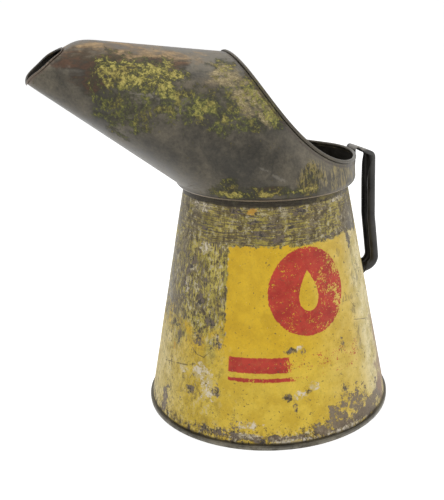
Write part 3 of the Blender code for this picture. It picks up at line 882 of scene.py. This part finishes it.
def handle_material():
    material, shader = new_material("handle_black_enamel")
    at, _, _, height = jug_place(shader)
    worn = flecks(at, 180.0, 0.1, 7.0, 0.03)
    rubbed = times(rise(height, *RUBBED_BEND), rise(noise(at, 90.0, 5.0), 0.36, 0.56))
    tone = noise(at, 60.0, 5.0)
    black = blend(rise(tone, 0.35, 0.65), rgb(38, 37, 36), rgb(60, 59, 57))
    colour = layered(black, (times(worn, 0.7), rgb(78, 70, 60)),
                     (times(rubbed, 0.8), rgb(136, 131, 123)))
    roughness = mix_values(rise(tone, 0.35, 0.65), 0.26, 0.48)
    shader.inputs["Specular IOR Level"].default_value = 0.25
    relief = either(times(tone, 0.4), 0.2)
    finish_surface(shader, grained(colour, at, 0.25), roughness, relief, STEEL_RELIEF)
    return material


# The design on the body's near side: places as angles and heights, sizes, and how soft edges are
PANEL_LEFT = -42.0
PANEL_LEFT_EDGE = 0.6
PANEL_TOP = 0.1568
PANEL_TOP_EDGE = 0.0008
SIGN_ANGLE = 4.0
SIGN_HEIGHT = 0.121
SIGN_RADIUS = 0.034
SIGN_EDGE = 0.0003
SIGN_WOBBLE = 0.0026
DROP_BOTTOM = -0.015
DROP_HEIGHT = 0.032
DROP_HALF_WIDTH = 0.0088
BAR_LEFT = -39.0
BAR_RIGHT = 34.0
BAR_END = 0.3
BAR_EDGE = 0.0004
WIDE_BAR = (0.0605, 0.0725)
THIN_BAR = (0.0535, 0.0565)

# Highest value of the drop's width curve, a third of the way up the drop
DROP_FULLEST = 0.385

# Zones of the body, as the angles or heights where each begins and where it is full
RIGHT = (28.0, 46.0)
LOW_LEFT = (-36.0, -52.0)
LOW_LEFT_END = (-122.0, -98.0)
LOW_LEFT_TOP = (0.088, 0.07)
BESIDE_FOOT = (0.06, 0.098)
BACK_RIGHT = (58.0, 72.0)
BACK_LEFT = (-90.0, -118.0)
FAR_LEFT = (-66.0, -78.0)
FAR_LEFT_END = (-112.0, -92.0)
FAR_LEFT_FOOT = (0.06, 0.1)
LOWEST = (0.034, 0.006)
FOOT = (0.016, 0.009)
UNDER_HOOD = (0.1854, 0.1868)
OVER_CHIME = (0.0064, 0.0046)

# Places on the body: angle, height, half width and half height
BARE_PLACES = (
    (8, 12, 10, 6), (14, 22, 10, 10), (20, 28, 12, 10), (28, 22, 12, 14), (36, 12, 16, 8),
    (20, 10, 20, 6), (50, 16, 10, 10), (42, 168, 10, 12), (52, 165, 12, 12), (41, 152, 4, 8),
    (-79, 18, 4, 12), (-30, 10, 14, 3), (-12, 9, 12, 3),
)
DARK_PLACES = (
    (-73, 78, 3, 8), (-57, 80, 5, 5), (-46, 80, 4, 4), (-59, 38, 4, 4), (-45, 43, 3, 4),
    (-49, 11, 6, 3), (-41, 11, 6, 4), (-35, 14, 3, 8), (-23, 6, 4, 3), (-8, 77, 4, 2.5),
    (-2, 76.5, 3, 2), (-10, 41, 3, 3), (0, 44, 2, 2), (-7, 32, 1.5, 6), (22, 74, 2, 4),
    (20, 39, 4, 3), (-38, 182, 6, 3), (-15, 172, 6, 4), (-12, 163, 6, 3), (-28, 176, 8, 2),
    (-70, 116, 7, 10), (-73, 137, 8, 10), (-59, 112, 4, 8), (2, 182, 10, 3), (-66, 140, 4, 5),
    (-51, 96, 5, 4), (-56, 126, 4, 4), (-24, 166.5, 6, 3), (-60, 168, 6, 4), (-4, 170, 4, 3),
    (22, 160, 8, 2),
)
SMUDGE_PLACES = (
    (40, 120, 3, 7), (43, 138, 3, 12), (45, 118, 2.5, 6), (31, 107, 7, 3), (35, 96, 4, 4),
    (36, 70, 2.5, 10), (28, 145, 3, 4),
)
PALE_PLACES = (
    (-45, 83, 3, 4), (-54, 54, 8, 7), (-49, 45, 6, 10), (-66, 52, 5, 3), (-29, 19, 8, 3),
    (-29, 11, 8, 2), (-4, 78.5, 3, 2), (3, 47, 4, 3), (-5, 42, 5, 3), (-10, 6, 16, 2),
    (20, 6, 20, 2), (36, 185, 10, 2), (-66, 183, 14, 4), (-8, 183, 4, 5), (-71, 121, 3, 7),
    (-58, 152, 6, 4),
)
BROWN_PLACES = (
    (56, 18, 12, 12), (66, 30, 22, 26), (68, 64, 18, 26), (68, 92, 12, 16),
)
ORANGE_PLACES = (
    (-28, 183.5, 4, 2), (-76, 66, 1.2, 3),
)

# Scratches on the body: angle and height at both ends, and the width
BODY_SCRATCHES = (
    ((-84, 48), (-75.6, 52.5), 0.7), ((-75.6, 52.5), (-69, 54.7), 0.9),
    ((-69, 54.7), (-63, 56.4), 1), ((-63, 56.4), (-58, 59.5), 0.8), ((-61.5, 72), (-57, 67.2), 0.6),
    ((-57, 67.2), (-53, 67.2), 0.6), ((-53, 67.2), (-50, 72.2), 0.5),
    ((-40, 183.5), (-34, 180.5), 0.6), ((-34, 180.5), (-27, 180), 0.7),
    ((20.2, 73.5), (21, 67), 0.6), ((33.5, 87.7), (48, 80.6), 0.5), ((33.7, 85.6), (32, 76.2), 0.5),
    ((38.7, 83), (37, 75.1), 0.5), ((29, 112), (37, 95.5), 0.5), ((27, 106.5), (34, 104.5), 0.5),
)


def sign_group():
    """The plain sign on the panel: a round with an oil drop in it, over two bars."""
    tree, (sheet, angle), out = new_group("drop_sign", [
        ("Sheet", "Vector", None), ("Angle", "Float", 0.0)], [("Round", "Float"), ("Bars", "Float")])
    x, height, _ = add_node(tree, "ShaderNodeSeparateXYZ", {0: sheet}).outputs
    along = less(x, math.radians(SIGN_ANGLE) * SHEET_RADIUS)
    up = less(height, SIGN_HEIGHT)
    wobble = times(less(noise(sheet, 420.0, 4.0), 0.5), SIGN_WOBBLE)
    distance = calc("SQRT", plus(times(along, along), times(up, up)))
    disc = rise(plus(distance, wobble), SIGN_RADIUS + SIGN_EDGE, SIGN_RADIUS - SIGN_EDGE)
    share = share_of_one(calc("DIVIDE", less(up, DROP_BOTTOM), DROP_HEIGHT))
    width = times(calc("SQRT", share), less(1.0, share), DROP_HALF_WIDTH / DROP_FULLEST)
    drop = rise(plus(less(width, calc("ABSOLUTE", along)), wobble), 0.0, 2 * SIGN_EDGE)
    height = plus(height, wobble)
    bars = most(within(height, *WIDE_BAR, BAR_EDGE), within(height, *THIN_BAR, BAR_EDGE))
    bars = times(within(angle, BAR_LEFT, BAR_RIGHT, BAR_END), bars)
    give(out, times(disc, less(1.0, drop)), bars)
    return tree


def body_material():
    material, shader = new_material("body_worn_enamel")
    at, sheet, angle, height = jug_place(shader)
    fine = noise(at, 640.0, 5.0, 0.75)
    medium = noise(at, 210.0, 6.0, 0.68)
    clouds = noise(at, 55.0, 5.0, 0.62)
    unequal = noise(at, 17.0, 3.0)
    level_streaks = noise(scaled(sheet, (75.0, 900.0, 1.0)), 1.0, 5.0, 0.68)
    upright_streaks = noise(scaled(sheet, (800.0, 110.0, 1.0)), 1.0, 5.0, 0.68)
    unevenness = less(medium, 0.5)
    ragged_angle = plus(angle, times(unevenness, 7.0))
    ragged_height = plus(height, times(unevenness, 0.014))

    # Zones of the body
    left = rise(ragged_angle, PANEL_LEFT + PANEL_LEFT_EDGE, PANEL_LEFT - PANEL_LEFT_EDGE)
    right = rise(ragged_angle, *RIGHT)
    top = rise(ragged_height, PANEL_TOP - PANEL_TOP_EDGE, PANEL_TOP + PANEL_TOP_EDGE)
    cloudy = less(clouds, 0.5)
    cloudy_angle = plus(angle, times(cloudy, 60.0))
    cloudy_height = plus(height, times(cloudy, 0.12))
    low_left = times(rise(cloudy_angle, *LOW_LEFT), rise(height, *LOW_LEFT_TOP))
    low_left = times(low_left, rise(angle, *LOW_LEFT_END))
    beside = times(left, rise(cloudy_height, *BESIDE_FOOT))
    round_back = most(rise(angle, *BACK_RIGHT), rise(angle, *BACK_LEFT))
    far_left = times(rise(angle, *FAR_LEFT), rise(angle, *FAR_LEFT_END), rise(height, *FAR_LEFT_FOOT))
    lowest = rise(height, *LOWEST)
    foot = rise(height, *FOOT)

    # How much of the coat is left
    pattern = mix_values(0.4, medium, fine)
    pattern = mix_values(times(most(beside, round_back), 0.65), pattern, upright_streaks)
    pattern = mix_values(times(most(right, low_left), 0.3), pattern, upright_streaks)
    pattern = mix_values(times(top, 0.75), pattern, level_streaks)
    pattern = mix_values(0.2, pattern, clouds)
    wear = mix_values(lowest, 0.385, 0.435)
    for zone, amount in (
        (right, 0.437),
        (low_left, 0.435),
        (beside, mix_values(rise(angle, -48.0, -68.0), 0.474, 0.498)),
        (round_back, mix_values(rise(unequal, 0.36, 0.64), 0.41, 0.54)),
        (top, 0.507),
    ):
        wear = mix_values(zone, wear, amount)
    bare = patches(sheet, on_sheet(BARE_PLACES), 150.0, 1.3)
    for zone, amount in ((foot, 0.035), (far_left, 0.025), (bare, 0.125)):
        wear = plus(wear, times(zone, amount))
    margin = less(pattern, wear)

    # Colours of the coat
    drift = rise(noise(at, 70.0, 5.0, 0.65), 0.38, 0.62)
    bright = blend(drift, rgb(189, 152, 19), rgb(199, 162, 27))
    low = blend(drift, rgb(188, 157, 42), rgb(202, 173, 58))
    pale = blend(drift, rgb(188, 170, 106), rgb(214, 200, 152))
    olive = blend(drift, rgb(146, 134, 52), rgb(176, 160, 78))
    yellow = layered(
        bright, (rise(height, 0.085, 0.05), low), (times(rise(angle, -16.0, 20.0), 0.5), low),
        (times(rise(angle, 0.0, 30.0), 0.22), pale), (right, pale), (times(low_left, 0.25), olive),
        (times(low_left, rise(angle, -58.0, -86.0), 0.6), pale), (most(beside, top), olive),
        (round_back, blend(rise(unequal, 0.42, 0.56), low, olive)))
    round_shape, bars = use_group(SIGN, Sheet=sheet, Angle=angle)
    worn = mix_values(0.6, noise(at, 90.0, 6.0, 0.7), fine)
    round_wear = mix_values(rise(angle, 2.0, 22.0), 0.41, 0.47)
    bar_wear = mix_values(rise(angle, -14.0, -4.0), 0.4, 0.555)
    red = most(times(round_shape, rise(less(worn, round_wear), 0.0, 0.01)),
               times(bars, rise(less(worn, bar_wear), 0.0, 0.01)))
    stained = rise(noise(at, 260.0, 6.0, 0.7), 0.52, 0.64)
    stained = times(stained, mix_values(most(left, top, right), 0.15, 0.4))
    coat = layered(yellow, (red, blend(drift, rgb(150, 36, 24), rgb(172, 52, 36))),
                   (stained, rgb(120, 104, 50)))

    # Metal and primer under it
    metal, metal_roughness, _ = use_group(
        OLD_STEEL, Vector=at, Dark=rgb(58, 50, 38), Light=rgb(118, 108, 88), Rusting=0.25)
    primer = blend(rise(medium, 0.44, 0.56), rgb(88, 74, 48), rgb(140, 127, 92))
    colour, paint = use_group(WORN_COAT, Left=margin, Bare=metal, Primer=primer,
                              Thin=blend(0.45, coat, rgb(104, 92, 58)), Whole=coat)

    # Blotches, chalky spots, chips, scratches, and painted shade with some grime at the seams, over it
    at_foot = times(rise(height, 0.019, 0.009), rise(angle, 14.0, 4.0))
    blotches = noise(scaled(at, (1.0, 1.0, 0.7)), 270.0, 5.0, 0.7)
    rougher = rise(noise(at, 38.0, 3.0), 0.4, 0.56)
    darker = most(beside, top, at_foot, times(low_left, 0.45), times(round_back, 0.7))
    darker = times(darker, mix_values(rougher, 0.45, 0.95), rise(blotches, 0.535, 0.565))
    paler = most(times(beside, 0.85), times(top, 0.85), at_foot, times(low_left, 0.5))
    paler = times(paler, mix_values(rougher, 0.3, 0.8), rise(blotches, 0.44, 0.41))
    browner = times(bare, rise(height, 0.07, 0.05), less(1.0, paint), 0.35)
    chalky = patches(sheet, on_sheet(PALE_PLACES), 240.0, 1.5)
    zones = either(times(most(beside, top), 0.12), times(far_left, 0.06),
                   times(most(low_left, foot), 0.1), 0.03)
    streaked = mix_values(times(left, 0.6), fine, upright_streaks)
    chalk = rise(streaked, mix_values(zones, 0.68, 0.38), mix_values(zones, 0.71, 0.41))
    chalk = either(chalk, times(chalky, rise(blotches, 0.5, 0.53)))
    smudges = patches(sheet, on_sheet(SMUDGE_PLACES), 160.0, 1.5)
    smudges = times(smudges, rise(upright_streaks, 0.44, 0.54))
    specks = flecks(at, 420.0, mix_values(most(beside, top, lowest), 0.17, 0.3), 4.0, 0.02)
    speck_colour = blend(low_left, rgb(66, 57, 40), rgb(98, 80, 42))
    chips = patches(sheet, on_sheet(DARK_PLACES), 240.0, 1.5)
    chips = times(chips, rise(pattern, 0.56, 0.5))
    chip_colour = blend(rise(blotches, 0.44, 0.54), rgb(38, 32, 28), rgb(98, 86, 74))
    marks = scratches(sheet, body_lines(BODY_SCRATCHES))
    orange = patches(sheet, on_sheet(ORANGE_PLACES), 240.0, 2.0)
    brown = patches(sheet, on_sheet(BROWN_PLACES), 60.0, 1.2)
    brown = times(brown, rise(pattern, 0.42, 0.5), 0.85)
    # Painted shade with some grime: dark rings under the hood's collar and over the chime, fainter at
    # the near right side.
    seam_shade_and_grime = either(rise(height, *UNDER_HOOD), rise(height, *OVER_CHIME))
    seam_shade_and_grime = times(seam_shade_and_grime, mix_values(within(angle, *FAINT_SHADE_BODY), 0.92, 0.5))
    colour = layered(
        colour, (darker, rgb(66, 55, 38)), (paler, rgb(192, 182, 152)),
        (times(top, 0.2), rgb(84, 72, 32)), (browner, rgb(128, 110, 92)),
        (times(chalky, rise(pattern, 0.44, 0.5), 0.55), rgb(176, 164, 130)),
        (times(chalk, 0.8), rgb(204, 194, 176)), (times(smudges, 0.6), rgb(104, 92, 62)),
        (times(specks, 0.75), speck_colour), (times(chips, 0.95), chip_colour),
        (times(marks, 0.7), rgb(60, 48, 30)), (times(orange, 0.65), rgb(188, 140, 44)),
        (brown, rgb(130, 102, 82)), (seam_shade_and_grime, rgb(34, 28, 18)))

    roughness = mix_values(paint, metal_roughness, mix_values(fine, 0.42, 0.66))
    relief = either(times(paint, 0.6), times(fine, 0.3))
    metallic = times(less(1.0, either(paint, chalk, chips)), 0.4)
    shader.inputs["Specular IOR Level"].default_value = 0.35
    finish_surface(shader, grained(colour, at, 0.2), roughness, relief, COAT_RELIEF, metallic)
    return material


def make_camera():
    data = bpy.data.cameras.new("photo_camera")
    data.lens = CAMERA_LENS
    data.sensor_width = CAMERA_SENSOR
    data.shift_x = CAMERA_SHIFT_X
    data.shift_y = CAMERA_SHIFT_Y
    data.clip_start = CAMERA_NEAREST
    camera = bpy.data.objects.new("photo_camera", data)
    camera.location = CAMERA_PLACE
    camera.rotation_euler = [math.radians(turn) for turn in CAMERA_TURN]
    bpy.context.scene.collection.objects.link(camera)
    bpy.context.scene.camera = camera


def seen_directly(tree):
    """1 for rays from the camera and for those that a surface mirrors or lets through."""
    path = add_node(tree, "ShaderNodeLightPath").outputs
    return most(path["Is Camera Ray"], path["Is Glossy Ray"], path["Is Transmission Ray"])


def make_world():
    world = bpy.data.worlds.new("white_room")
    world.use_nodes = True
    bpy.context.scene.world = world
    background = world.node_tree.nodes["Background"]
    background.inputs["Color"].default_value = WHITE
    join(mix_values(seen_directly(world.node_tree), ROOM_LIGHT, 1.0), background.inputs["Strength"])


def make_floor():
    bpy.ops.object.select_all(action="DESELECT")
    bpy.ops.mesh.primitive_plane_add(size=FLOOR_SIZE, location=(0, 0, 0))
    floor = bpy.context.active_object
    floor.name = "pale_floor"
    material, shader = new_material("pale_floor")
    shader.inputs["Base Color"].default_value = (FLOOR_GREY, FLOOR_GREY, FLOOR_GREY, 1)
    shader.inputs["Roughness"].default_value = 0.9
    shader.inputs["Specular IOR Level"].default_value = 0.1
    tree = shader.id_data
    glow = add_node(tree, "ShaderNodeEmission", {
        "Color": WHITE, "Strength": times(seen_directly(tree), FLOOR_GLOW)})
    both = add_node(tree, "ShaderNodeAddShader", {0: shader.outputs[0], 1: glow.outputs[0]})
    join(both.outputs[0], tree.nodes["Material Output"].inputs["Surface"])
    floor.data.materials.append(material)


def make_lamp(name, place, size, power):
    bpy.ops.object.select_all(action="DESELECT")
    bpy.ops.object.light_add(type="AREA", location=place)
    lamp = bpy.context.active_object
    lamp.name = name
    lamp.data.size = size
    lamp.data.energy = power
    aim = Vector(LAMP_TARGET) - Vector(place)
    lamp.rotation_euler = aim.to_track_quat("-Z", "Y").to_euler()


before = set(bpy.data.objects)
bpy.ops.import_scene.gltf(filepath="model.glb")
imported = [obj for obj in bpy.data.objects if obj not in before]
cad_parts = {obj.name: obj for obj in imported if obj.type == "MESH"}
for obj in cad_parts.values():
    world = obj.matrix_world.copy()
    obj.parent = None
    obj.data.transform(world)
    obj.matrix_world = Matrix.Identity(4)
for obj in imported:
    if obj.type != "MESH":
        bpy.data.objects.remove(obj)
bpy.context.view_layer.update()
bpy.context.scene.view_settings.view_transform = "Standard"

JUG_PLACE = jug_place_group()
FLECKS = flecks_group()
PATCH = patch_group()
SCRATCH = scratch_group()
FINE_GRAIN = fine_grain_group()
OLD_STEEL = old_steel_group()
WORN_COAT = worn_coat_group()
SIGN = sign_group()

paint = body_material()
hood_steel = hood_material()
# Nearly black steel for the sheets' inner sides.
inside = plain_metal("dark_inside", relief=STEEL_RELIEF, metallic=0.0, Dark=rgb(22, 20, 17),
                     Light=rgb(44, 40, 34), Rust=rgb(66, 44, 26), Rusting=0.2)
base_steel = base_material()
enamel = handle_material()
solder = plain_metal("grey_solder", relief=0.0002, metallic=0.9, Dark=rgb(98, 96, 92),
                     Light=rgb(150, 148, 144), Rusting=0.05)
wire = plain_metal("drawn_wire", relief=0.00005, metallic=0.9, Dark=rgb(88, 84, 78),
                   Light=rgb(132, 128, 120), Rusting=0.2)

for made, node, slot in (
    (make_body(paint, inside), "body_shell", "body_paint"),
    (make_side_seam(paint), None, "body_paint"),
    (make_hood(hood_steel, inside), "hood", "hood_steel"),
    (make_base(base_steel), "base_plate", "base_steel"),
    (make_handle(enamel), "handle", "handle_enamel"),
    (make_solder_pad("handle_top_solder", "top_foot_solder", solder), "handle_top_solder", "solder"),
    (make_solder_pad("handle_foot_solder", "lower_foot_solder", solder), "handle_foot_solder", "solder"),
):
    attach(made, "root")
    if node:
        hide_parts(node)

for node, material in (
    ("base_seam_solder", solder), ("shoulder_seam_solder", solder), ("rear_rim_wire", wire),
):
    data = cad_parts[node].data
    data.materials.clear()
    data.materials.append(material)

make_camera()
make_world()
make_floor()
for lamp in LAMPS:
    make_lamp(*lamp)
